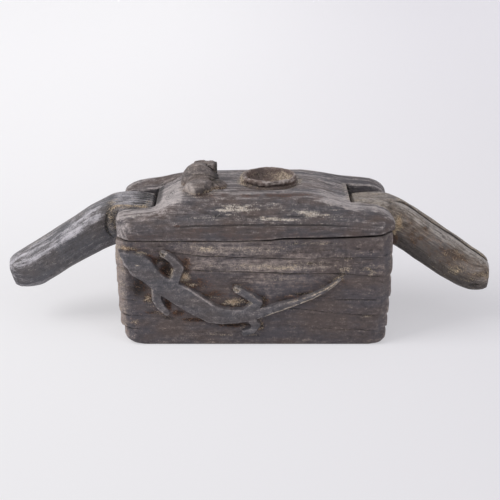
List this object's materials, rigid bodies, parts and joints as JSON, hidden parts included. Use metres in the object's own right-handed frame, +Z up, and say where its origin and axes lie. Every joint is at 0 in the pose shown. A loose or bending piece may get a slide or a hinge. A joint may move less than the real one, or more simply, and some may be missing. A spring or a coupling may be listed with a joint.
{
  "type": "ritual box",
  "caption": "Carved wooden trough box with two drooping paddle handles, a forked lid that lifts off between the handle tongues, a lizard relief, a small figure and an offering cup.",
  "frame": {"origin": "on the ground plane under the box, on the middle plane of its depth and 4 mm left of the middle of its length", "axes": "+X to the right along the box, towards the cup end; -Y towards the side with the carved lizard; +Z up"},
  "size_m": [0.5542, 0.1564, 0.1906],
  "materials": {
    "box_wood": "dark smoke-blackened hardwood with horizontal grain and tan crust in the hollows",
    "handle_wood": "dark hardwood rubbed to a dull grey sheen on the edges, olive and tan streaks",
    "relief_wood": "dark blue-grey worn hardwood with orange-brown dust along its edges",
    "lid_wood": "dark hardwood with long tan crust streaks and a red-brown cast on the crown",
    "figure_wood": "dark hardwood, handled smooth on the high places",
    "cup_wood": "dark crusted hardwood with pale flecks of old offerings in the bowl"
  },
  "bodies": {
    "box": {"box_body": "box_wood", "handle_left": "handle_wood", "handle_right": "handle_wood", "lizard_relief": "relief_wood"},
    "lid": {"lid_board": "lid_wood", "lid_figure": "figure_wood", "lid_cup": "cup_wood"}
  },
  "joints": [
    {"name": "lid_lift", "type": "slide", "parent": "box", "child": "lid", "axis": [0, 0, 1], "range_m": [0, 0.15]}
  ]
}
